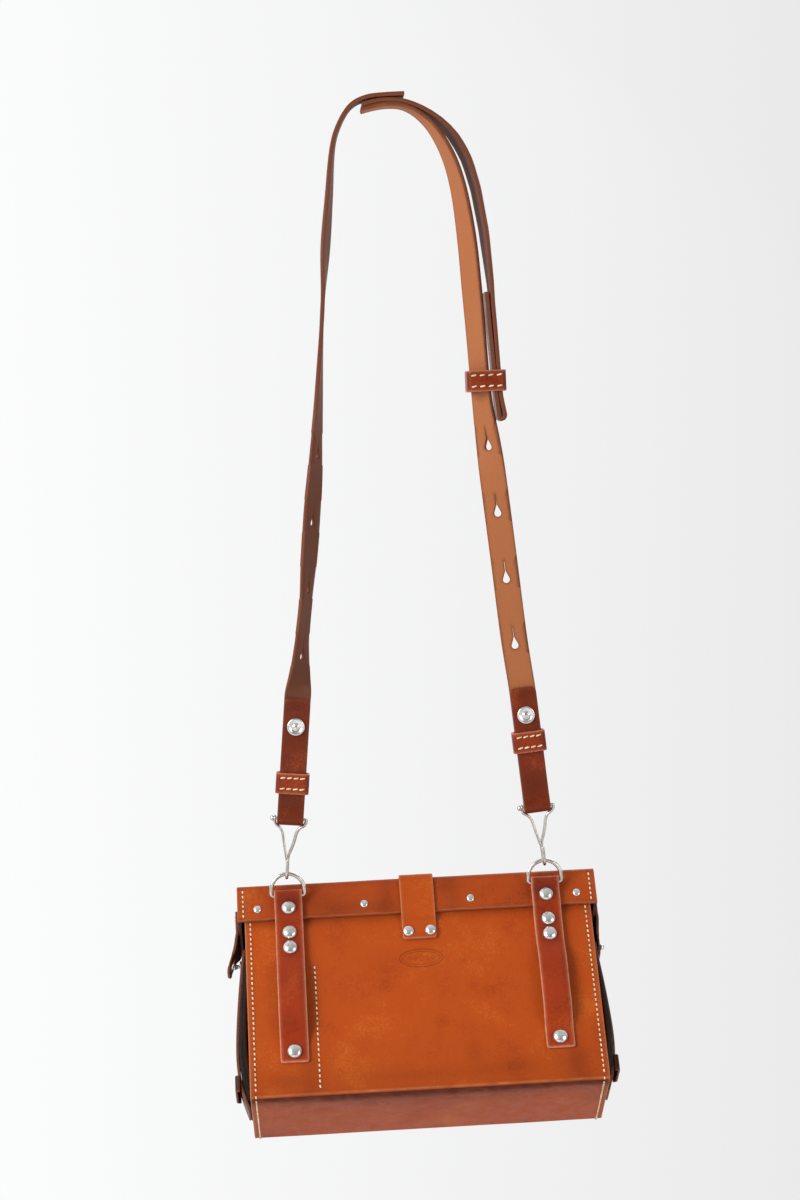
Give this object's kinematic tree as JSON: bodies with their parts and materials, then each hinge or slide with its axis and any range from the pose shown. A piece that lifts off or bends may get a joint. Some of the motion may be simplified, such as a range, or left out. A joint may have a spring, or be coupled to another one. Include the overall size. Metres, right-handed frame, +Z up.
{
  "type": "camera bag",
  "caption": "Stiff leather camera bag with a hinged lid, belt loops and a removable shoulder strap, hanging from a hook by the strap.",
  "frame": {"origin": "underside of the shoulder strap where it bears on the hook that it hangs from", "axes": "+Z up against gravity, +X to the right seen from the bag back, +Y from the back towards the front of the bag; the bag itself leans 36.8 degrees as it hangs"},
  "size_m": [0.2775, 0.1646, 0.7383],
  "materials": {
    "case_leather": "waxed, worn vegetable-tanned leather",
    "dark_leather": "darker waxed strap leather",
    "strap_leather": "grain side dark and waxed, flesh side pale",
    "nickel": "slightly worn nickel plate"
  },
  "bodies": {
    "strap": {"strap_left": "strap_leather", "strap_right": "strap_leather", "strap_extension": "strap_leather", "strap_stud_left": "nickel", "strap_stud_right": "nickel"},
    "keeper_left": {"keeper_left": "strap_leather"},
    "keeper_right": {"keeper_right": "strap_leather"},
    "keeper_middle": {"keeper_middle": "strap_leather"},
    "hook_left": {"snap_hook_left": "nickel"},
    "hook_right": {"snap_hook_right": "nickel"},
    "gate_left": {"hook_gate_left": "nickel"},
    "gate_right": {"hook_gate_right": "nickel"},
    "ring_left": {"d_ring_left": "nickel"},
    "ring_right": {"d_ring_right": "nickel"},
    "case": {"body_panel": "case_leather", "gusset_left": "case_leather", "gusset_right": "case_leather", "partition": "case_leather", "back_flange": "case_leather", "flange_rivets": "nickel", "belt_strap_left": "dark_leather", "belt_strap_right": "dark_leather", "belt_rivets": "nickel", "closure_strap_back": "case_leather", "closure_rivets": "nickel", "end_strap_left": "dark_leather", "end_strap_right": "dark_leather", "end_keeper_left": "dark_leather", "end_keeper_right": "dark_leather", "ear_stud_left": "nickel", "ear_stud_right": "nickel", "front_stud": "nickel"},
    "lid": {"lid_cover": "case_leather", "lid_end_left": "case_leather", "lid_end_right": "case_leather", "closure_strap_top": "case_leather"},
    "ear_left": {"ear_left": "case_leather"},
    "ear_right": {"ear_right": "case_leather"},
    "tongue": {"closure_tongue": "case_leather"}
  },
  "joints": [
    {"name": "hook_left_swing", "type": "hinge", "parent": "strap", "child": "hook_left", "pos_m": [-0.09268, 0, -0.50223], "axis": [1, 0, 0], "range_deg": [-8, 8]},
    {"name": "gate_left_press", "type": "hinge", "parent": "hook_left", "child": "gate_left", "pos_m": [-0.09268, 0, -0.50223], "axis": [0.9942, 0, -0.108], "range_deg": [0, 8], "stiffness_Nm_per_rad": 0.02, "springref_deg": -5.73},
    {"name": "ring_left_swing", "type": "hinge", "parent": "hook_left", "child": "ring_left", "pos_m": [-0.097, 0, -0.542], "axis": [1, 0, 0], "range_deg": [-8, 8]},
    {"name": "hook_right_swing", "type": "hinge", "parent": "strap", "child": "hook_right", "pos_m": [0.08565, 0, -0.50214], "axis": [1, 0, 0], "range_deg": [-8, 8]},
    {"name": "gate_right_press", "type": "hinge", "parent": "hook_right", "child": "gate_right", "pos_m": [0.08565, 0, -0.50214], "axis": [0.9965, 0, 0.0837], "range_deg": [0, 8], "stiffness_Nm_per_rad": 0.02, "springref_deg": -5.73},
    {"name": "ring_right_swing", "type": "hinge", "parent": "hook_right", "child": "ring_right", "pos_m": [0.089, 0, -0.542], "axis": [1, 0, 0], "range_deg": [-8, 8]},
    {"name": "case_swing", "type": "hinge", "parent": "ring_left", "child": "case", "pos_m": [-0.097, 0, -0.558], "axis": [1, 0, 0], "range_deg": [-25, 20]},
    {"name": "lid_open", "type": "hinge", "parent": "case", "child": "lid", "pos_m": [-0.004, 0.0098, -0.55434], "axis": [1, 0, 0], "range_deg": [0, 80]},
    {"name": "tongue_lift", "type": "hinge", "parent": "lid", "child": "tongue", "pos_m": [-0.004, 0.08292, -0.60467], "axis": [1, 0, 0], "range_deg": [0, 95]},
    {"name": "ear_left_lift", "type": "hinge", "parent": "lid", "child": "ear_left", "pos_m": [-0.1357, 0.02957, -0.59885], "axis": [0, 0.8007, -0.599], "range_deg": [-16, 60]},
    {"name": "ear_right_lift", "type": "hinge", "parent": "lid", "child": "ear_right", "pos_m": [0.1277, 0.02957, -0.59885], "axis": [0, -0.8007, 0.599], "range_deg": [0, 75]},
    {"name": "keeper_left_slide", "type": "slide", "parent": "strap", "child": "keeper_left", "axis": [0.108, 0, 0.9942], "range_m": [-0.007, 0.02]},
    {"name": "keeper_right_slide", "type": "slide", "parent": "strap", "child": "keeper_right", "axis": [-0.0837, 0, 0.9965], "range_m": [-0.025, 0.004]},
    {"name": "keeper_middle_slide", "type": "slide", "parent": "strap", "child": "keeper_middle", "axis": [0, 0, 1], "range_m": [-0.003, 0.008]}
  ],
  "couplings": [
    {"joint": "hook_right_swing", "follows": "hook_left_swing", "ratio": 1},
    {"joint": "ring_right_swing", "follows": "ring_left_swing", "ratio": 1}
  ]
}
